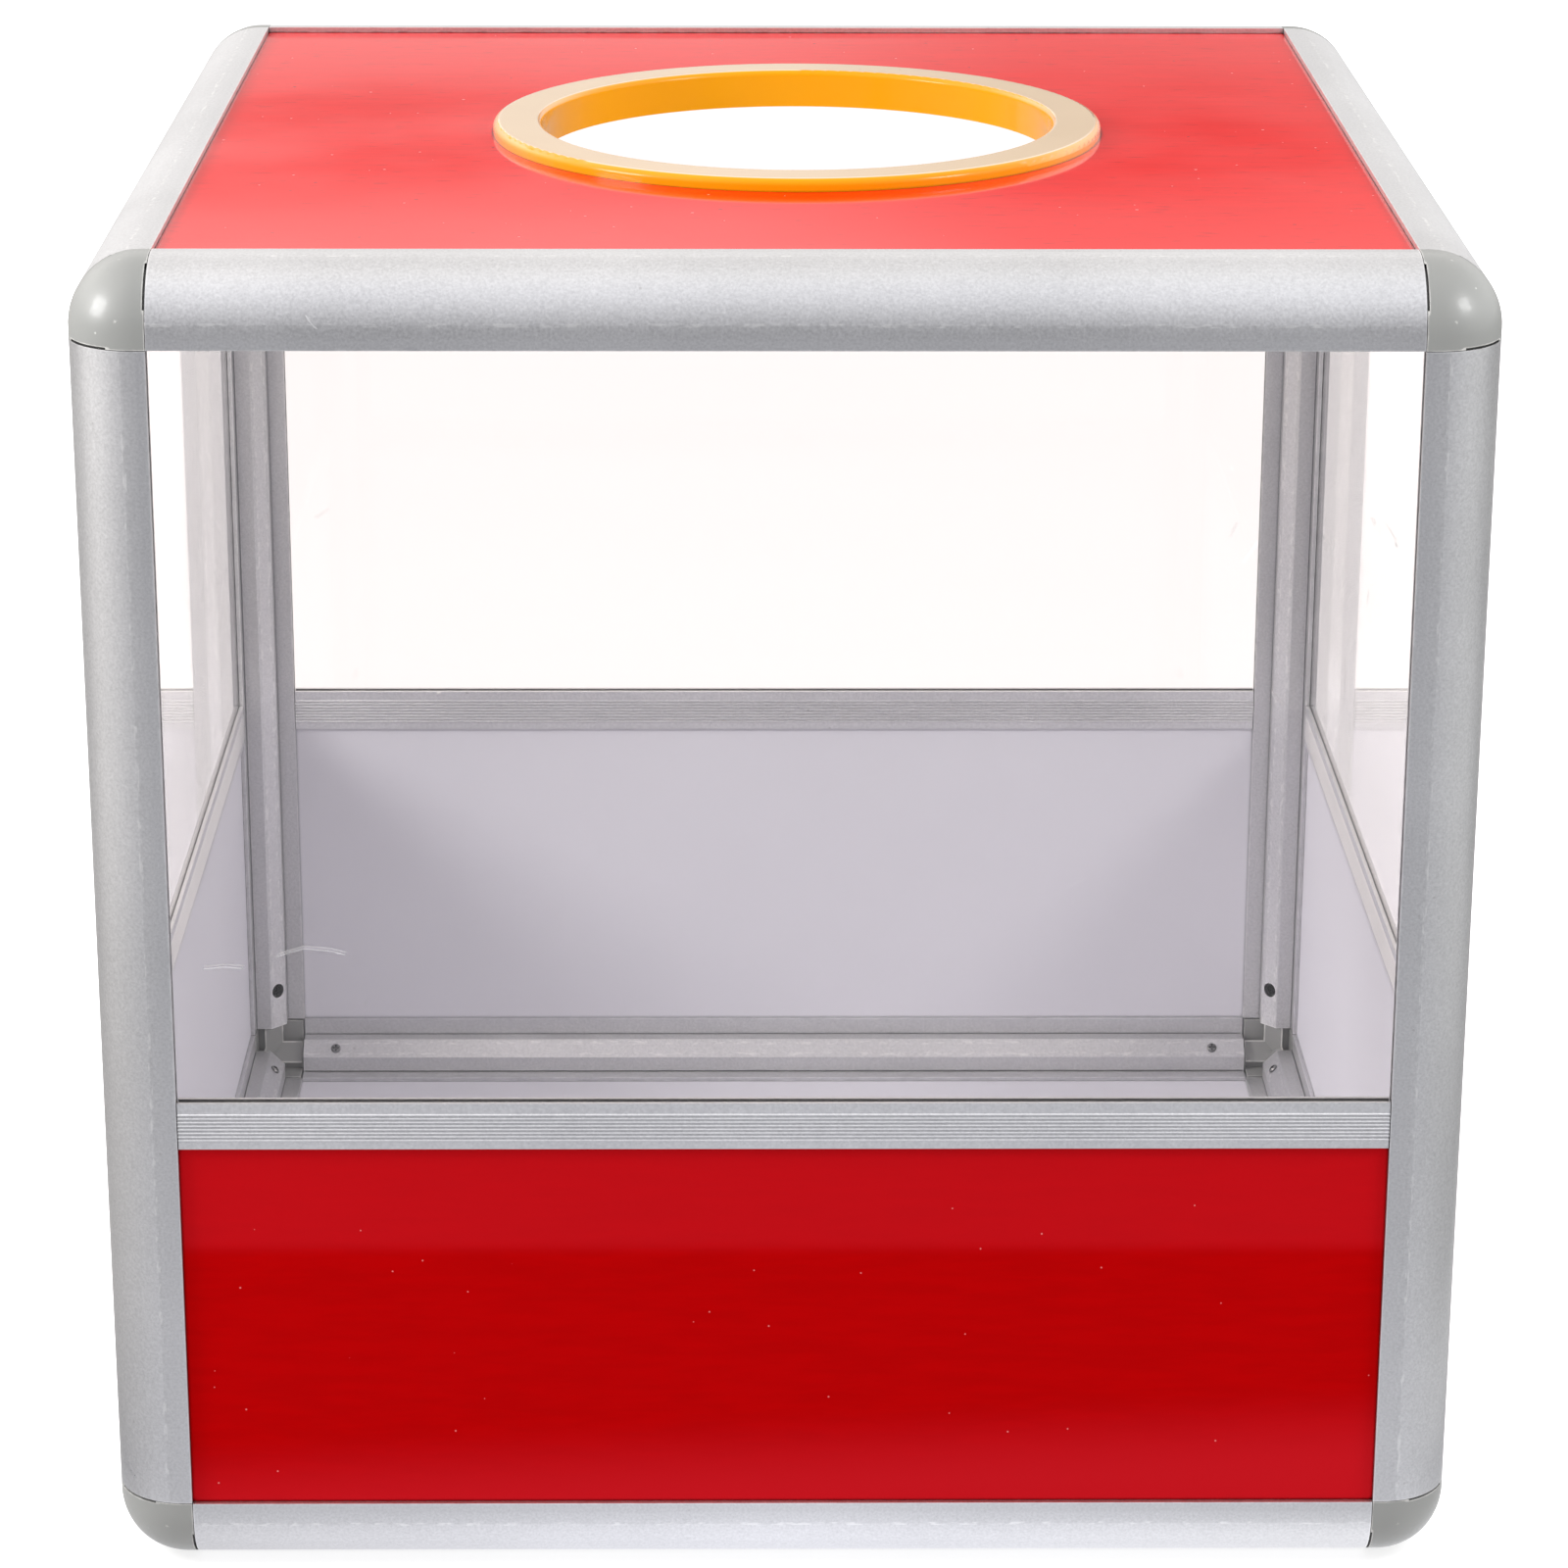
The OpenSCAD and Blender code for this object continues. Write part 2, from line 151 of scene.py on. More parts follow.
def make_grain():
    """Blasted and anodised skin: fine speckle, faint lines along the bar and broad cloudiness."""
    tree, given, result = new_effect(
        "grain",
        [("Place", VECTOR, None), ("Along", VECTOR, (1, 1, 1)), ("Fineness", FLOAT, 1600.0)],
        [("Speckle", FLOAT), ("Lines", FLOAT), ("Clouds", FLOAT)],
    )
    drawn = vector_sums(tree, "MULTIPLY", given["Place"], given["Along"])
    tree.links.new(noise(tree, given["Place"], given["Fineness"], 3.0, 0.65), result["Speckle"])
    tree.links.new(noise(tree, drawn, 1300.0, 3.0, 0.6), result["Lines"])
    tree.links.new(noise(tree, given["Place"], 22.0, 3.0, 0.55), result["Clouds"])
    return tree


def make_specks():
    """Dust: small scattered specks, each in its own cell, of which only a share is filled."""
    tree, given, result = new_effect(
        "specks",
        [("Place", VECTOR, None), ("Spacing", FLOAT, 200.0), ("Size", FLOAT, 0.08), ("Share", FLOAT, 0.3)],
        [("Mask", FLOAT)],
    )
    feeds = {"Vector": given["Place"], "Scale": given["Spacing"]}
    cells = place_node(tree, "ShaderNodeTexVoronoi", feeds, feature="F1")
    parts = place_node(tree, "ShaderNodeSeparateColor", {0: cells.outputs["Color"]})
    size = sums(tree, "MULTIPLY", given["Size"], sums(tree, "ADD", parts.outputs[1], 0.35))
    dot = sums(tree, "LESS_THAN", cells.outputs["Distance"], size)
    filled = sums(tree, "LESS_THAN", parts.outputs[0], given["Share"])
    tree.links.new(sums(tree, "MULTIPLY", dot, filled), result["Mask"])
    return tree


def make_hairlines():
    """Fine broken scratches that wander over the surface."""
    tree, given, result = new_effect(
        "hairlines",
        [("Place", VECTOR, None), ("Fineness", FLOAT, 60.0), ("Share", FLOAT, 0.3)],
        [("Mask", FLOAT)],
    )
    bend = place_node(tree, "ShaderNodeTexNoise", {"Vector": given["Place"], "Scale": 9.0, "Detail": 1.0})
    swing = vector_sums(tree, "MULTIPLY", bend.outputs["Color"], (HAIRLINE_SWING,) * 3)
    wandering = vector_sums(tree, "ADD", given["Place"], swing)
    feeds = {"Vector": wandering, "Scale": given["Fineness"]}
    cells = place_node(tree, "ShaderNodeTexVoronoi", feeds, feature="DISTANCE_TO_EDGE")
    line = sums(tree, "LESS_THAN", cells.outputs["Distance"], HAIRLINE_WIDTH)
    reach = sums(tree, "MULTIPLY_ADD", given["Share"], 0.5, 0.25)
    kept = sums(tree, "LESS_THAN", noise(tree, given["Place"], 70.0, 1.0), reach)
    tree.links.new(sums(tree, "MULTIPLY", line, kept), result["Mask"])
    return tree


def make_scratch():
    """One scratch between two points, thicker and thinner along its way."""
    tree, given, result = new_effect(
        "scratch",
        [("Place", VECTOR, None), ("Start", VECTOR, None), ("Way", VECTOR, None), ("Width", FLOAT, 0.0002)],
        [("Mask", FLOAT)],
    )
    off = vector_sums(tree, "SUBTRACT", given["Place"], given["Start"])
    reach = vector_sums(tree, "DOT_PRODUCT", off, given["Way"], out=1)
    length = vector_sums(tree, "DOT_PRODUCT", given["Way"], given["Way"], out=1)
    share = spread(tree, sums(tree, "DIVIDE", reach, length), 0.0, 1.0, smooth=False)
    nearest = vector_sums(tree, "MULTIPLY", given["Way"], share)
    gap = vector_sums(tree, "DISTANCE", off, nearest, out=1)
    width = sums(tree, "MULTIPLY", given["Width"], sums(tree, "ADD", noise(tree, given["Place"], 900.0), 0.4))
    tree.links.new(sums(tree, "LESS_THAN", gap, width), result["Mask"])
    return tree


def make_shade_and_wear():
    """Paints shade into corners, slots and seams, and lightens edges with scuffs and a painted highlight;
    Open is 1 on a free face.
    """
    tree, given, result = new_effect(
        "shade_and_wear",
        [
            ("Place", VECTOR, None),
            ("Colour", COLOUR, (0.5, 0.5, 0.5, 1)),
            ("Open", FLOAT, 1.0),
            ("Rim", FLOAT, 0.0),
            ("Soiling", FLOAT, 0.7),
            ("Soil", COLOUR, (0.02, 0.02, 0.02, 1)),
            ("Rub", FLOAT, 0.5),
            ("Rubbed", COLOUR, (0.9, 0.9, 0.9, 1)),
        ],
        [("Colour", COLOUR)],
    )
    blotches = noise(tree, given["Place"], 300.0, 2.0)
    # Painted shade: the colour darkens where corners, slots and seams close the spot in
    closed = sums(tree, "MULTIPLY", spread(tree, given["Open"], 0.85, 0.45), given["Soiling"])
    soiled = blend_colours(tree, closed, given["Colour"], given["Soil"])
    # Edges lightened: scuffs, and a painted highlight where an edge catches the light
    edge = spread(tree, given["Rim"], 0.12, 0.35)
    broken = spread(tree, blotches, 0.35, 0.6, 0.35, 1.0)
    rub = sums(tree, "MULTIPLY", sums(tree, "MULTIPLY", edge, broken), given["Rub"])
    tree.links.new(blend_colours(tree, rub, soiled, given["Rubbed"]), result["Colour"])
    return tree


GRAIN, SPECKS, HAIRLINES, SCRATCH, SHADE_AND_WEAR = (
    make_grain(), make_specks(), make_hairlines(), make_scratch(), make_shade_and_wear()
)


# Materials

# Rays that feel for corners and rims round a spot
CORNER_SAMPLES = 6


def new_finish(name):
    """An empty material: its tree, its Principled shader, its output and the place on the object."""
    material = bpy.data.materials.new(name)
    material.use_nodes = True
    tree = material.node_tree
    tree.nodes.clear()
    out = tree.nodes.new("ShaderNodeOutputMaterial")
    skin = tree.nodes.new("ShaderNodeBsdfPrincipled")
    tree.links.new(skin.outputs[0], out.inputs["Surface"])
    place = tree.nodes.new("ShaderNodeTexCoord").outputs["Object"]
    return material, tree, skin, out, place


def settle(tree, skin, **values):
    """Sets the shader's sockets by value, or links what changes over the surface."""
    for name, value in values.items():
        socket = skin.inputs[name.replace("_", " ").title().replace("Ior", "IOR")]
        if isinstance(value, bpy.types.NodeSocket):
            tree.links.new(value, socket)
        else:
            socket.default_value = (*value, 1) if isinstance(value, tuple) else value


def bumped(tree, height, depth_mm):
    """The normal of a surface that rises by height times a depth."""
    return place_node(tree, "ShaderNodeBump", {"Height": height, "Distance": depth_mm * MM}).outputs["Normal"]


def openness(tree, reach_mm, **settings):
    """1 on a free face, less towards a corner, a slot or a seam."""
    feeds = {"Distance": reach_mm * MM}
    node = place_node(tree, "ShaderNodeAmbientOcclusion", feeds, samples=CORNER_SAMPLES, **settings)
    return node.outputs["AO"]


def rims(tree, reach_mm):
    """0 on a face, more towards its outer edges."""
    return sums(tree, "SUBTRACT", 1.0, openness(tree, reach_mm, inside=True, only_local=True))


def shaded_and_scuffed(tree, place, colour, corners_mm, soiling, rim_mm=0, rub=0.0, **tints):
    """Paints shade into a colour's corners, and lightens its edges where rim_mm is given, with scuffs and a
    painted highlight.
    """
    feeds = {"open": openness(tree, corners_mm), "soiling": soiling, "rub": rub, **tints}
    if rim_mm:
        feeds["rim"] = rims(tree, rim_mm)
    return use_effect(tree, SHADE_AND_WEAR, place=place, colour=colour, **feeds)["Colour"]


def specks(tree, place, spacing, size, share):
    """1 on specks of dust, 0 between them."""
    return use_effect(tree, SPECKS, place=place, spacing=spacing, size=size, share=share)["Mask"]


def painted(tree, colour, mask, strength, paint):
    """Lays paint over a colour where the mask is 1."""
    return blend_colours(tree, sums(tree, "MULTIPLY", mask, strength), colour, paint)


def drawn_out(axis, share):
    """Factors that draw a texture out along an axis."""
    return tuple(share if step else 1.0 for step in ALONG[axis])


def facing_up(tree):
    """1 where the surface faces straight up, 0 where it is upright."""
    normal = place_node(tree, "ShaderNodeNewGeometry").outputs["Normal"]
    return vector_sums(tree, "DOT_PRODUCT", normal, ALONG["z"], out=1)


def scratches(tree, place, marks, width_mm):
    """Lays scratches over each of the marks, which are rows of points in mm."""
    total = 0.0
    for points in marks:
        for start, end in zip(points, points[1:]):
            start, end = Vector(start) * MM, Vector(end) * MM
            line = use_effect(tree, SCRATCH, place=place, start=start, way=end - start, width=width_mm * MM)
            total = sums(tree, "MAXIMUM", total, line["Mask"])
    return total


def below_outside(tree, place, axis):
    """How far a spot on a bar along an axis lies from the box's outside, on the farther of its two sides."""
    off = vector_sums(tree, "ABSOLUTE", vector_sums(tree, "SUBTRACT", place, BOX_MIDDLE))
    depth = vector_sums(tree, "SUBTRACT", (BOX_HALF,) * 3, off)
    depth = vector_sums(tree, "MULTIPLY", depth, Vector((1, 1, 1)) - ALONG[axis])
    parts = place_node(tree, "ShaderNodeSeparateXYZ", {0: depth}).outputs
    return sums(tree, "MAXIMUM", sums(tree, "MAXIMUM", parts[0], parts[1]), parts[2])


# A painted shade line lies at this depth below the box's outside: inside a bar at the step where its skin
# leaves the core and runs on as a flange, and on its outer faces along the edge of a reflection. How far the
# line and its pale flecks, painted light along that edge, reach from there to both sides
FLANGE_LINE_MM, SHADE_LINE_MM, FLECKS_MM = 12.3, 0.15, 0.4
# How far the metal's fine lines and those flecks are drawn out along a bar
LINES_DRAWN, FLECKS_DRAWN = 0.012, 0.35
# Shades of the metal, dark and pale in patches, on the edge bars and on the ribbed middle rails
BAR_SHADES = (0.605, 0.606, 0.612), (0.80, 0.80, 0.81)
RIBBED_SHADES = (0.68, 0.68, 0.69), (0.88, 0.88, 0.89)
# Grey of the painted shade line, white of the painted light flecks along it, and white of the scratches
SHADE_LINE_GREY, FLECK_WHITE, SCRATCH_WHITE = (0.2, 0.2, 0.2), (0.93, 0.93, 0.92), (0.96, 0.96, 0.96)
METAL_DUST = (0.5, 0.49, 0.48)
# A scratch on the front top rail
RAIL_SCRATCH = [[(-100.1, -149, 291.6), (-98.6, -149.4, 289), (-97.4, -149.7, 287.5), (-96.6, -150, 287)]]
# Two scratches on the front window
WINDOW_SCRATCHES = [
    [(-109.6, 0, 148.1), (-107.3, 0, 149), (-103.6, 0, 150.1), (-98.2, 0, 149.6), (-94.8, 0, 148.7)],
    [(-125.3, 0, 145.4), (-120.9, 0, 145.9), (-116.9, 0, 145.5)],
]


def aluminium(name, axis, soiling=0.55, marks=()):
    """Satin anodised aluminium of an edge bar, with painted shade in its corners and edges lightened by
    scuffs and a painted highlight.
    """
    return metal(name, axis, BAR_SHADES, marks=marks, soiling=soiling)


def metal(name, axis, shades, flange=True, marks=(), corners_mm=0.8, soiling=0.55, rim_mm=0.5):
    """Satin metal drawn along an axis, between two shades; flange adds the painted shade line where a flange
    begins, with pale flecks of painted light along it.
    """
    material, tree, skin, _, place = new_finish(name)
    grain = use_effect(tree, GRAIN, place=place, along=drawn_out(axis, LINES_DRAWN))
    dust = specks(tree, place, spacing=330.0, size=0.10, share=0.05)
    hairs = use_effect(tree, HAIRLINES, place=place, fineness=42.0, share=0.1)["Mask"]
    fine = sums(tree, "MULTIPLY", grain["Speckle"], 0.75)
    mottle = sums(tree, "MULTIPLY_ADD", grain["Clouds"], 0.25, fine)
    patchy = spread(tree, mottle, 0.3, 0.7, smooth=False)
    colour = blend_colours(tree, patchy, *shades)
    if flange:
        leg = below_outside(tree, place, axis)
        # Painted shade line at the flange's depth, on faces that do not look up
        step = over_mm(tree, leg, (FLANGE_LINE_MM - SHADE_LINE_MM, FLANGE_LINE_MM + SHADE_LINE_MM), 0.0, 0.1)
        upright = spread(tree, facing_up(tree), 0.5, 0.8, 1.0, 0.0)
        colour = painted(tree, colour, step, upright, SHADE_LINE_GREY)
        # Pale flecks along that line: painted light on its ragged edge
        near = sums(tree, "COMPARE", leg, FLANGE_LINE_MM * MM, FLECKS_MM * MM)
        long = vector_sums(tree, "MULTIPLY", place, drawn_out(axis, FLECKS_DRAWN))
        flecks = spread(tree, noise(tree, long, 1100.0, 2.0), 0.5, 0.68, 0.0, 0.5)
        colour = painted(tree, colour, near, flecks, FLECK_WHITE)
    if marks:
        colour = painted(tree, colour, scratches(tree, place, marks, 0.2), 0.8, SCRATCH_WHITE)
    colour = painted(tree, colour, dust, 0.5, METAL_DUST)
    # Painted shade in corners, slots and seams; edges lightened by scuffs and a painted highlight
    colour = shaded_and_scuffed(tree, place, colour, corners_mm, soiling, rim_mm, rub=0.8)
    rough = spread(tree, mottle, 0.25, 0.75, 0.37, 0.48, smooth=False)
    rough = sums(tree, "SUBTRACT", rough, sums(tree, "MULTIPLY", hairs, 0.12))
    height = sums(tree, "MULTIPLY_ADD", grain["Speckle"], 0.8, sums(tree, "MULTIPLY", grain["Lines"], 0.5))
    settle(tree, skin, base_color=colour, metallic=1.0, roughness=rough, normal=bumped(tree, height, 0.012))
    return material


def ribbed_aluminium(name, axis):
    """The same metal on a middle rail, with a little painted highlight on its ribs' crests and painted shade
    between them and in its slots.
    """
    return metal(name, axis, RIBBED_SHADES, flange=False, corners_mm=0.6, soiling=0.6, rim_mm=0.15)


def corner_plastic():
    """Grey moulded plastic with a soft shine and chipped edges."""
    material, tree, skin, _, place = new_finish("corner_grey")
    mottle = noise(tree, place, 900.0, 3.0, 0.6)
    clouds = noise(tree, place, 55.0, 2.0)
    colour = blend_colours(tree, clouds, (0.29, 0.295, 0.285), (0.345, 0.35, 0.335))
    dust = specks(tree, place, spacing=420.0, size=0.09, share=0.04)
    colour = painted(tree, colour, dust, 0.7, (0.72, 0.72, 0.70))
    # Dark of the painted shade in corners and seams, and the pale of chipped edges
    soil, rubbed = (0.06, 0.058, 0.054, 1), (0.8, 0.79, 0.76, 1)
    colour = shaded_and_scuffed(
        tree, place, colour, corners_mm=1.2, soiling=0.3, rim_mm=0.4, rub=0.7, soil=soil, rubbed=rubbed
    )
    rough = spread(tree, mottle, 0.3, 0.7, 0.32, 0.44, smooth=False)
    settle(tree, skin, base_color=colour, roughness=rough, normal=bumped(tree, mottle, 0.01))
    settle(tree, skin, coat_weight=0.25, coat_roughness=0.16)
    return material


def ring_plastic():
    """Glossy orange plastic with a pale sheen painted on its top, whose shine grows strongly towards a
    grazing view.
    """
    material, tree, skin, _, place = new_finish("ring_orange")
    mottle = noise(tree, place, 700.0, 2.0)
    clouds = noise(tree, place, 40.0, 2.0)
    colour = blend_colours(tree, clouds, (1.0, 0.365, 0.0005), (1.0, 0.395, 0.001))
    # Painted sheen: faces that look up are paled towards cream, as the light from above pales them
    painted_top_sheen = spread(tree, facing_up(tree), 0.93, 0.995, 0.0, 0.85)
    colour = blend_colours(tree, painted_top_sheen, colour, (1.0, 0.79, 0.54))
    dust = specks(tree, place, spacing=300.0, size=0.09, share=0.06)
    colour = painted(tree, colour, dust, 0.5, (0.45, 0.16, 0.01))
    # Painted shade in its corners
    colour = shaded_and_scuffed(tree, place, colour, corners_mm=0.8, soiling=0.5, soil=(0.25, 0.04, 0.0, 1))
    rough = spread(tree, clouds, 0.3, 0.7, 0.14, 0.2, smooth=False)
    grazing = place_node(tree, "ShaderNodeLayerWeight", {"Blend": 0.5}).outputs["Facing"]
    shine = spread(tree, grazing, 0.3, 0.62)
    settle(tree, skin, base_color=colour, roughness=rough, normal=bumped(tree, mottle, 0.004))
    settle(tree, skin, specular_ior_level=0.25, coat_weight=shine, coat_ior=1.6, coat_roughness=0.1)
    return material


# The lower facings' paler bands, a painted reflection of the ground, in mm: one fades in downwards along a
# slanting line, one upwards
SHEEN_LOW_MM, SHEEN_SLANT = (41, 19), -0.052
SHEEN_HIGH_MM, SHEEN_HIGH_SHARE = (77, 82), 0.58
# The dark red of streaks and dashes, as a share of the sheet's own, and how far both are drawn out
DEEP_SHARE, STREAKS_DRAWN, DASHES_DRAWN = 0.6, 0.15, 0.2
# The last is the dark red of the painted shade along the sheets' edges
PALE_DUST, DARK_DUST, RED_SHADOWED = (0.9, 0.32, 0.32), (0.2, 0.004, 0.01), (0.03, 0.0, 0.0, 1)


def red_facing(name, colour, roughness, gloss, wave_mm, edge_mm, sheen=None):
    """Glossy red sheet with faint streaks and specks of dust, and painted shade along its edges. It has paler
    bands low and high on it, a painted reflection of the ground, if sheen gives their colour, or else dark
    specks and dashes."""
    material, tree, skin, _, place = new_finish(name)
    streaks = vector_sums(tree, "MULTIPLY", place, drawn_out("x", STREAKS_DRAWN))
    streaks = noise(tree, streaks, 420.0, 4.0, 0.6)
    clouds = noise(tree, place, 16.0, 3.0)
    deep_red = tuple(channel * DEEP_SHARE for channel in colour)
    red = blend_colours(tree, spread(tree, streaks, 0.3, 0.7, 0.8, 1.0), deep_red, colour)
    # Paler bands: painted reflection of the ground
    if sheen:
        parts = place_node(tree, "ShaderNodeSeparateXYZ", {0: place})
        slanting = sums(tree, "MULTIPLY_ADD", parts.outputs["X"], SHEEN_SLANT, parts.outputs["Z"])
        low = over_mm(tree, slanting, SHEEN_LOW_MM)
        high = over_mm(tree, parts.outputs["Z"], SHEEN_HIGH_MM, 0.0, SHEEN_HIGH_SHARE)
        red = blend_colours(tree, sums(tree, "MAXIMUM", low, high), red, sheen)
    else:
        dark_dust = specks(tree, place, spacing=210.0, size=0.09, share=0.1)
        red = painted(tree, red, dark_dust, 0.6, DARK_DUST)
        dashes = noise(tree, vector_sums(tree, "MULTIPLY", place, drawn_out("x", DASHES_DRAWN)), 700.0)
        red = blend_colours(tree, spread(tree, dashes, 0.62, 0.72, 0.0, 0.7), red, deep_red)
    pale_dust = specks(tree, place, spacing=300.0, size=0.085, share=0.12)
    red = painted(tree, red, pale_dust, 0.7, PALE_DUST)
    # Painted shade along the edges, where the sheet runs into its slots
    red = shaded_and_scuffed(tree, place, red, corners_mm=edge_mm, soiling=0.97, soil=RED_SHADOWED)
    rough = spread(tree, clouds, 0.3, 0.7, roughness, roughness + 0.05, smooth=False)
    rough = sums(tree, "ADD", rough, sums(tree, "MULTIPLY", pale_dust, 0.3))
    settle(tree, skin, base_color=red, roughness=rough, specular_ior_level=gloss)
    settle(tree, skin, normal=bumped(tree, streaks, wave_mm))
    return material


def white_board():
    """White foam board, matt, with faint smudges."""
    material, tree, skin, _, place = new_finish("board_white")
    clouds = noise(tree, place, 14.0, 4.0, 0.6)
    fibre = noise(tree, place, 1500.0, 3.0, 0.6)
    colour = blend_colours(tree, clouds, (0.76, 0.75, 0.80), (0.81, 0.80, 0.85))
    pale = specks(tree, place, spacing=160.0, size=0.05, share=0.08)
    dark = specks(tree, place, spacing=90.0, size=0.035, share=0.12)
    colour = painted(tree, colour, pale, 0.6, (0.97, 0.97, 0.98))
    colour = painted(tree, colour, dark, 0.5, (0.35, 0.34, 0.36))
    # Painted shade in its corners and where it meets the bars
    colour = shaded_and_scuffed(tree, place, colour, corners_mm=1.0, soiling=0.45)
    rough = spread(tree, fibre, 0.3, 0.7, 0.55, 0.65, smooth=False)
    settle(tree, skin, base_color=colour, roughness=rough, specular_ior_level=0.3)
    settle(tree, skin, normal=bumped(tree, fibre, 0.01))
    return material


# What lies in front of this depth belongs to the front window, which has the scratches
FRONT_WINDOW_MM = -140


def clear_acrylic():
    """Clear sheet with scratches; light passes it straight to what is behind."""
    material, tree, skin, out, place = new_finish("acrylic_clear")
    hairs = use_effect(tree, HAIRLINES, place=place, fineness=16.0, share=0.12)["Mask"]
    haze = noise(tree, place, 24.0, 3.0)
    rough = spread(tree, haze, 0.4, 0.8, 0.0, 0.02, smooth=False)
    rough = sums(tree, "ADD", rough, sums(tree, "MULTIPLY", hairs, 0.2))
    settle(tree, skin, base_color=(0.982, 0.95, 0.942), roughness=rough, ior=1.49, transmission_weight=1.0)
    through = place_node(tree, "ShaderNodeBsdfTransparent", {"Color": (0.94, 0.94, 0.94, 1)})
    path = tree.nodes.new("ShaderNodeLightPath").outputs
    passing = sums(tree, "MAXIMUM", path["Is Shadow Ray"], path["Is Diffuse Ray"])
    clear = place_node(tree, "ShaderNodeMixShader", {0: passing, 1: skin.outputs[0], 2: through.outputs[0]})
    parts = place_node(tree, "ShaderNodeSeparateXYZ", {0: place}).outputs
    front = sums(tree, "LESS_THAN", parts["Y"], FRONT_WINDOW_MM * MM)
    cuts = scratches(tree, vector_sums(tree, "MULTIPLY", place, (1, 0, 1)), WINDOW_SCRATCHES, 0.13)
    cuts = sums(tree, "MULTIPLY", cuts, sums(tree, "MULTIPLY", front, 0.4))
    chalky = place_node(tree, "ShaderNodeBsdfDiffuse", {"Color": (0.95, 0.95, 0.95, 1)})
    mixed = place_node(tree, "ShaderNodeMixShader", {0: cuts, 1: clear.outputs[0], 2: chalky.outputs[0]})
    tree.links.new(mixed.outputs[0], out.inputs["Surface"])
    return material


def screw_steel(name, colour, roughness):
    """Plated steel of the screws, with painted shade round their heads."""
    material, tree, skin, _, place = new_finish(name)
    mottle = noise(tree, place, 1800.0, 3.0, 0.6)
    polished = tuple(channel * 1.5 for channel in colour)
    shade = blend_colours(tree, spread(tree, mottle, 0.4, 0.75), colour, polished)
    # Painted shade round the heads, where they sit in their holes
    shade = shaded_and_scuffed(tree, place, shade, corners_mm=1.0, soiling=0.9)
    rough = spread(tree, mottle, 0.3, 0.7, roughness, roughness + 0.15, smooth=False)
    settle(tree, skin, base_color=shade, metallic=1.0, roughness=rough, normal=bumped(tree, mottle, 0.01))
    return material


def dress():
    """Gives every CAD node its finish."""
    bars = {axis: aluminium("aluminium_" + axis, axis) for axis in ALONG}
    middle_rails = {axis: ribbed_aluminium("middle_rail_" + axis, axis) for axis in "xy"}
    # The top rails get more painted shade in their slots and seams
    top_bars = {axis: aluminium("top_rail_" + axis, axis, soiling=0.92) for axis in "xy"}
    scratched_bar = aluminium("top_rail_scratched", "x", soiling=0.92, marks=RAIL_SCRATCH)
    # One red facing in two brightnesses: painted light makes it brighter on the top sheet under the light
    # from above, and painted shade makes it darker on the lower sheets
    shaded_lower_red = red_facing(
        "facing_red_lower_shaded", (0.53, 0.0002, 0.001), roughness=0.12, gloss=0.015, wave_mm=0.0005, edge_mm=1.0,
        sheen=(0.62, 0.008, 0.0145),
    )
    lit_top_red = red_facing(
        "facing_red_top_lit", (0.97, 0.002, 0.001), roughness=0.06, gloss=0.5, wave_mm=0.0003, edge_mm=1.2
    )
    finishes = {
        "_corner_": corner_plastic(),
        "window_": clear_acrylic(),
        "top_facing": lit_top_red,
        "lower_facing_": shaded_lower_red,
        "hand_ring": ring_plastic(),
        "_board": white_board(),
        "post_screws": screw_steel("screw_dark", (0.012, 0.012, 0.013), 0.3),
        "_rail_screws": screw_steel("screw_bright", (0.22, 0.22, 0.22), 0.25),
        "top_rail_front": scratched_bar,
    }
    for axis, sides in (("x", ("front", "back")), ("y", ("left", "right"))):
        for side in sides:
            finishes.setdefault("middle_rail_" + side, middle_rails[axis])
            finishes.setdefault("top_rail_" + side, top_bars[axis])
            finishes.setdefault("bottom_rail_" + side, bars[axis])
    finishes["post_"] = bars["z"]
    for name, node in nodes.items():
        finish = next(finish for part, finish in finishes.items() if part in name)
        for slot in node.material_slots:
            slot.material = finish


# Studio

# What the box mirrors on each side: SKY by degrees up and strength, GROUND by mm away and strength.
# Two walls of light stand left and right, the ground grows brighter towards them, and the front is dim.
SKY = {
    "front": ((0, 0.15), (15, 0.4), (35, 0.6), (60, 0.88), (90, 0.96)),
    "right": ((0, 1.5), (20, 2.3), (35, 1.8), (90, 0.96)),
    "back": ((0, 0.6), (12, 0.85), (25, 1.3), (50, 0.86), (90, 0.96)),
    "left": ((0, 0.8), (12, 1.8), (25, 3.2), (50, 2.4), (90, 0.96)),
}
GROUND = {
    "front": ((0, 1.3), (30, 1.0), (60, 0.92), (150, 0.75), (300, 0.55), (700, 0.6), (2500, 0.3)),
    "right": ((0, 1.3), (30, 0.2), (80, 0.8), (150, 0.35), (400, 0.6), (550, 1.05), (800, 0.2), (2500, 0.8)),
    "back": ((0, 1.2), (60, 1.0), (200, 0.95), (450, 0.45), (1000, 0.7), (2500, 0.85)),
    "left": ((0, 0.6), (30, 0.2), (80, 0.4), (400, 0.68), (1300, 1.15), (2500, 1.1)),
}
COOL, PLAIN, PALE_WARM = (0.98, 0.985, 1.05), (1.0, 1.0, 1.0), (1.03, 1.0, 0.98)
GLOW_TINT = {"front": COOL, "right": PLAIN, "back": PALE_WARM, "left": PALE_WARM}
TOWARDS = {"front": (0, -1, 0), "right": (1, 0, 0), "back": (0, 1, 0), "left": (-1, 0, 0)}
# The ramps' colours hold strengths as shares of the brightest, and GROUND's ramps reach this far
BRIGHTEST = 4.0
GROUND_REACH_MM = 2500
# What reflections and what soft light get of those strengths, and the white that the eye sees straight
SHINE_GAIN, LIGHT_GAIN = 0.95, 0.68
PLAIN_WHITE = 1.12
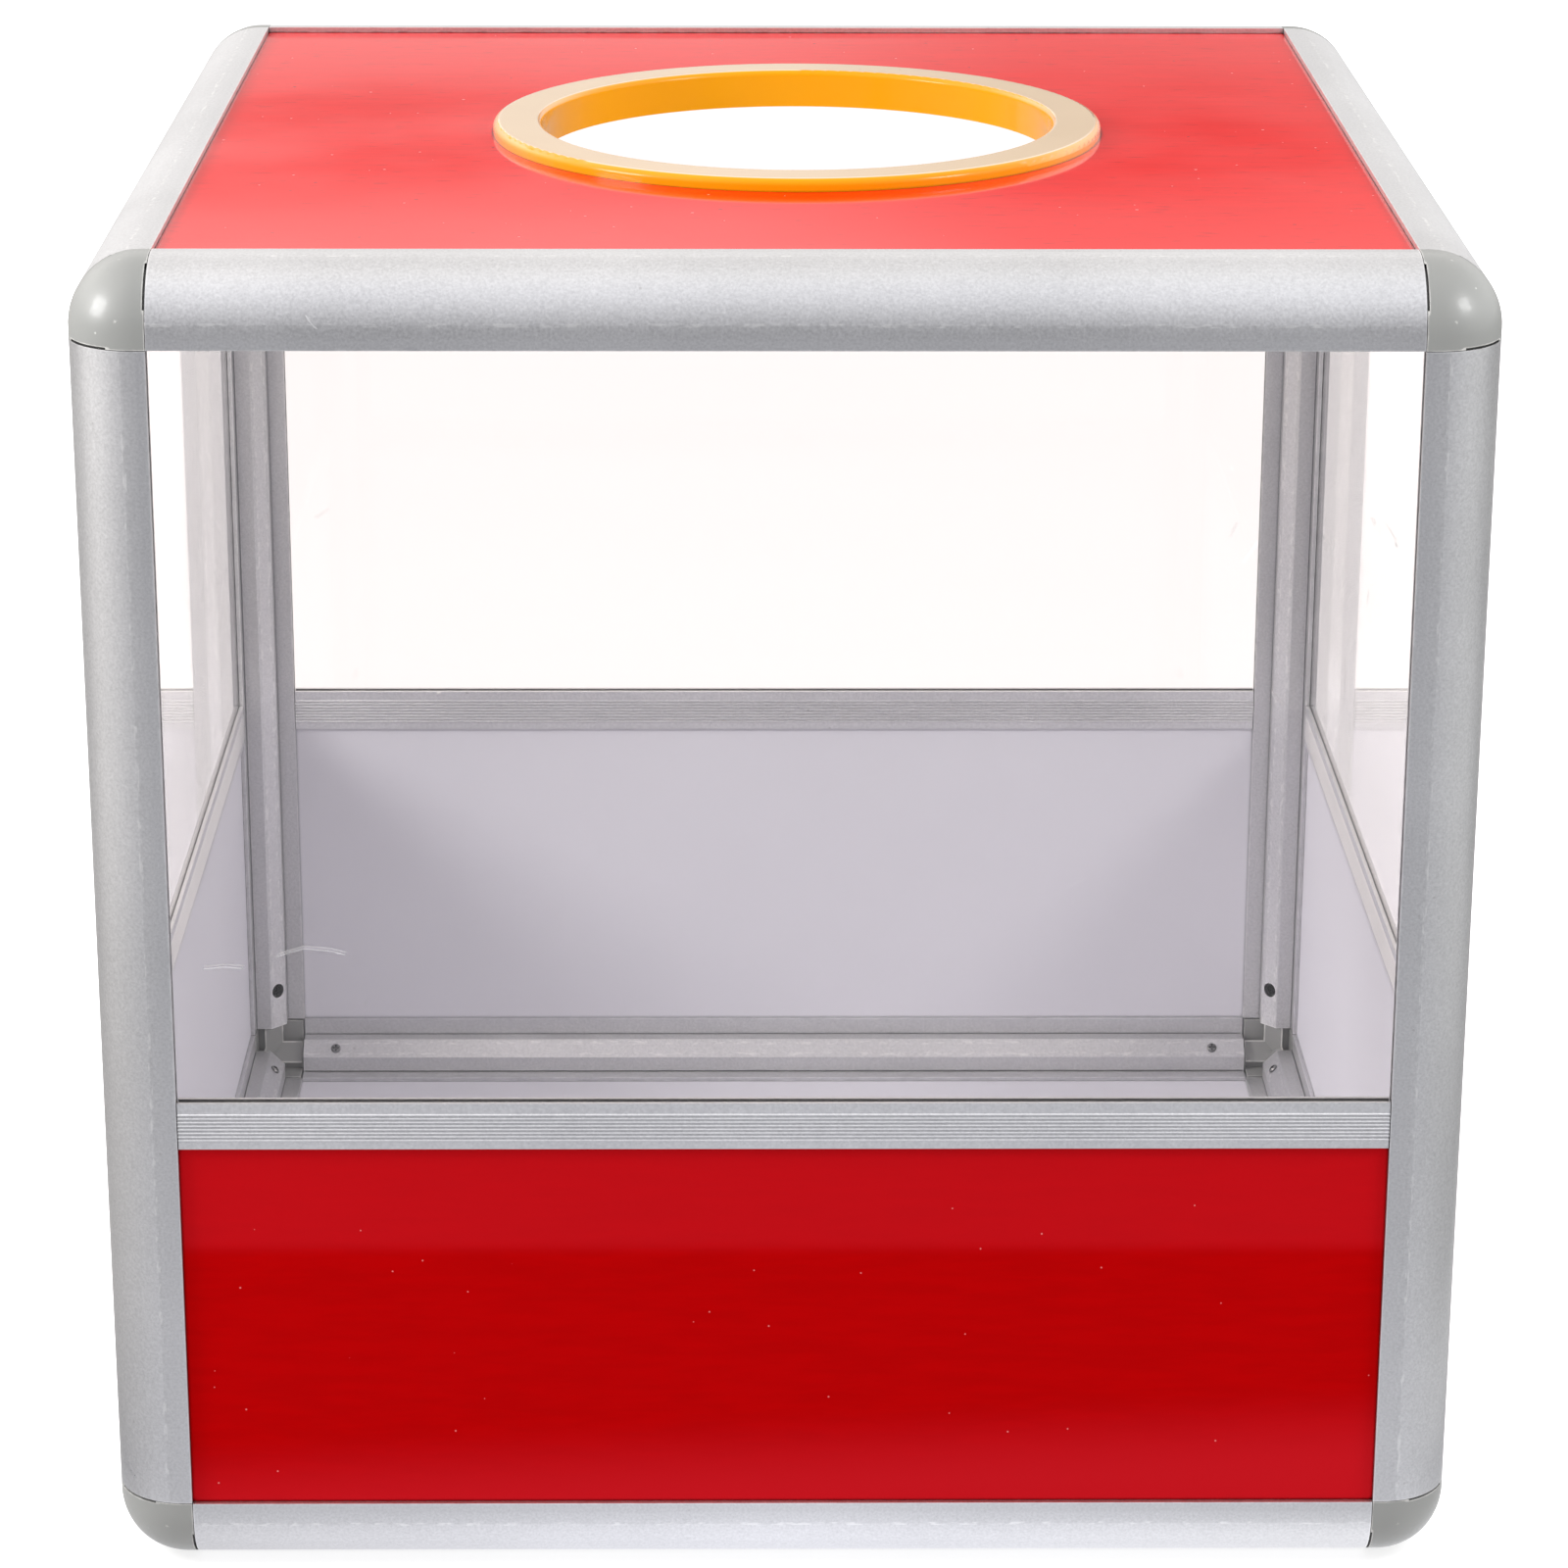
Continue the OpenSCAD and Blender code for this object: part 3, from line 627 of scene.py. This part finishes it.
# Two dim places low in the sky behind the box: a thin band, and a screen on its right. Each has its
# middle to the right and up, its half size both ways, as parts of a unit vector, and the share it takes.
DIM_PLACES = {
    "band": ((0.0, 0.194), (0.16, 0.013), 0.75),
    "right_screen": ((0.11, 0.1), (0.08, 0.18), 0.4),
}
# Their edges fade out from and to these shares of their half size
FADE_FROM, FADE_TO = 0.5, 1.5
# The floor's own glow: in the picture behind the box, what it gains to the left and right, as light on it
FLOOR_SEEN, FLOOR_LEFT, FLOOR_RIGHT, FLOOR_LIGHT = 0.76, 1.05, 0.8, 0.34
# The floor beside the box starts past a soft line: mm across at the box's middle, and its slant
BESIDE_MM, BESIDE_SLANT = (134, 144), -0.096
# The floor's left part changes into its right part over this, in mm
LEFT_TO_RIGHT_MM = (-50, 50)
# The lit strip of floor right behind the box, that the side windows mirror: its strength, where it ends
# across, and where it starts behind, in mm
STRIP_SHINE = 0.8
STRIP_ACROSS_MM, STRIP_BEHIND_MM = (140, 170), (150, 300)
# What the mirrored floor keeps of its strength behind the box, and from where to where it drops to that
GROUND_BEHIND, BEHIND_MM = 0.58, (-50, 250)
# Half the floor's width, in metres
FLOOR_REACH = 6.0
# Softboxes near the top front corners: the corner (mm), degrees from the front towards the right,
# degrees up, distance from the corner (mm), width (mm), strength
SOFTBOXES = {
    "left_softbox": ((-150, -150, 300), -76, 24, 600, 260, 14.0),
    "right_softbox": ((150, -150, 300), 63, 32, 600, 200, 14.0),
}


def towards_light(azimuth, height):
    """The direction of a light, from degrees round the box and degrees up."""
    azimuth, height = math.radians(azimuth), math.radians(height)
    level = math.cos(height)
    return Vector((math.sin(azimuth) * level, -math.cos(azimuth) * level, math.sin(height)))


def seen_straight(tree, path):
    """1 for what the eye sees directly or through the windows, 0 for reflections and for light."""
    direct = sums(tree, "MAXIMUM", path["Is Camera Ray"], path["Is Transmission Ray"])
    bounced = sums(tree, "ADD", path["Glossy Depth"], path["Diffuse Depth"])
    return sums(tree, "MULTIPLY", direct, sums(tree, "LESS_THAN", bounced, 0.5))


def sides_glow(tree, level, share, table, reach):
    """Mixes the four sides' ramps: level is a flat vector from the box, share runs 0..1 along each ramp."""
    level = vector_sums(tree, "NORMALIZE", vector_sums(tree, "MULTIPLY", level, (1, 1, 0)))
    total = None
    for side, stops in table.items():
        ramp = place_node(tree, "ShaderNodeValToRGB", {"Fac": share})
        elements = ramp.color_ramp.elements
        while len(elements) < len(stops):
            elements.new(0.5)
        for element, (where, strength) in zip(elements, stops):
            element.position = where / reach
            element.color = (*(strength / BRIGHTEST * tint for tint in GLOW_TINT[side]), 1)
        facing = vector_sums(tree, "DOT_PRODUCT", level, TOWARDS[side], out=1)
        facing = sums(tree, "MAXIMUM", facing, 0.0)
        glow = vector_sums(tree, "MULTIPLY", ramp.outputs["Color"], sums(tree, "MULTIPLY", facing, facing))
        total = glow if total is None else vector_sums(tree, "ADD", total, glow)
    return total


def set_light():
    """Soft light from all sides, dimmest at the front, with a plain white ground to look at."""
    world = bpy.data.worlds.new("studio")
    bpy.context.scene.world = world
    world.use_nodes = True
    tree = world.node_tree
    tree.nodes.clear()
    towards = tree.nodes.new("ShaderNodeTexCoord").outputs["Generated"]
    parts = place_node(tree, "ShaderNodeSeparateXYZ", {0: towards})
    height = spread(tree, sums(tree, "ARCSINE", parts.outputs["Z"]), 0.0, math.pi / 2, smooth=False)
    glow = sides_glow(tree, towards, height, SKY, 90)
    behind = sums(tree, "GREATER_THAN", parts.outputs["Y"], 0.0)
    for (across, up), (half_width, half_height), taken in DIM_PLACES.values():
        across = sums(tree, "ABSOLUTE", sums(tree, "SUBTRACT", parts.outputs["X"], across))
        up = sums(tree, "ABSOLUTE", sums(tree, "SUBTRACT", parts.outputs["Z"], up))
        across = spread(tree, across, half_width * FADE_FROM, half_width * FADE_TO, 1.0, 0.0)
        up = spread(tree, up, half_height * FADE_FROM, half_height * FADE_TO, 1.0, 0.0)
        dim = sums(tree, "MULTIPLY", sums(tree, "MULTIPLY", across, up), behind)
        dim = sums(tree, "MULTIPLY", dim, taken)
        glow = vector_sums(tree, "MULTIPLY", glow, sums(tree, "SUBTRACT", 1.0, dim))
    path = tree.nodes.new("ShaderNodeLightPath").outputs
    gain = sums(tree, "MULTIPLY_ADD", path["Is Diffuse Ray"], LIGHT_GAIN - SHINE_GAIN, SHINE_GAIN)
    gain = sums(tree, "MULTIPLY", gain, BRIGHTEST)
    soft = place_node(tree, "ShaderNodeBackground", {"Color": glow, "Strength": gain})
    plain = place_node(tree, "ShaderNodeBackground", {"Strength": PLAIN_WHITE})
    seen = seen_straight(tree, path)
    mixed = place_node(tree, "ShaderNodeMixShader", {0: seen, 1: soft.outputs[0], 2: plain.outputs[0]})
    out = tree.nodes.new("ShaderNodeOutputWorld")
    tree.links.new(mixed.outputs[0], out.inputs["Surface"])
    for name, (corner, azimuth, height, distance, width, strength) in SOFTBOXES.items():
        light = bpy.data.lights.new(name, "AREA")
        light.shape, light.size = "SQUARE", width * MM
        light.energy = strength * math.pi * (width * MM) ** 2
        box = bpy.data.objects.new(name, light)
        box.location = (Vector(corner) + towards_light(azimuth, height) * distance) * MM
        box.rotation_euler = (box.location - BOX_MIDDLE).to_track_quat("Z", "Y").to_euler()
        bpy.context.scene.collection.objects.link(box)


def lay_floor():
    """Pale floor that glows a little, so that shadows on it stay faint; reflections see GROUND in it."""
    mesh = bpy.data.meshes.new("floor")
    corners = [(x * FLOOR_REACH, y * FLOOR_REACH, 0) for x, y in ((-1, -1), (1, -1), (1, 1), (-1, 1))]
    mesh.from_pydata(corners, [], [(0, 1, 2, 3)])
    floor = bpy.data.objects.new("floor", mesh)
    bpy.context.scene.collection.objects.link(floor)
    material, tree, skin, out, place = new_finish("floor_pale")
    colour = blend_colours(tree, noise(tree, place, 6.0), (0.34, 0.34, 0.34), (0.36, 0.36, 0.36))
    path = tree.nodes.new("ShaderNodeLightPath").outputs
    parts = place_node(tree, "ShaderNodeSeparateXYZ", {0: vector_sums(tree, "ABSOLUTE", place)}).outputs
    beside = over_mm(tree, sums(tree, "MULTIPLY_ADD", parts["Y"], BESIDE_SLANT, parts["X"]), BESIDE_MM)
    across = vector_sums(tree, "DOT_PRODUCT", place, ALONG["x"], out=1)
    gained = over_mm(tree, across, LEFT_TO_RIGHT_MM, FLOOR_LEFT, FLOOR_RIGHT)
    bright = sums(tree, "MULTIPLY_ADD", beside, gained, FLOOR_SEEN - FLOOR_LIGHT)
    glow = sums(tree, "MULTIPLY_ADD", seen_straight(tree, path), bright, FLOOR_LIGHT)
    settle(tree, skin, base_color=colour, roughness=0.9, emission_color=(1, 1, 1), emission_strength=glow)
    away = sums(tree, "SUBTRACT", sums(tree, "MAXIMUM", parts["X"], parts["Y"]), BOX_HALF)
    away = spread(tree, away, 0.0, GROUND_REACH_MM * MM, smooth=False)
    glow = sides_glow(tree, place, away, GROUND, GROUND_REACH_MM)
    behind = vector_sums(tree, "DOT_PRODUCT", place, ALONG["y"], out=1)
    glow = vector_sums(tree, "MULTIPLY", glow, over_mm(tree, behind, BEHIND_MM, 1.0, GROUND_BEHIND))
    strip = over_mm(tree, parts["X"], STRIP_ACROSS_MM, STRIP_SHINE / BRIGHTEST, 0.0)
    strip = sums(tree, "MULTIPLY", strip, over_mm(tree, behind, STRIP_BEHIND_MM))
    glow = vector_sums(tree, "ADD", glow, strip)
    mirrored = place_node(tree, "ShaderNodeEmission", {"Color": glow, "Strength": BRIGHTEST * SHINE_GAIN})
    shine = sums(tree, "GREATER_THAN", path["Glossy Depth"], 0.5)
    mixed = place_node(tree, "ShaderNodeMixShader", {0: shine, 1: skin.outputs[0], 2: mirrored.outputs[0]})
    tree.links.new(mixed.outputs[0], out.inputs["Surface"])
    mesh.materials.append(material)


set_camera()
dress()
lay_floor()
set_light()
bpy.context.scene.view_settings.view_transform = "Standard"
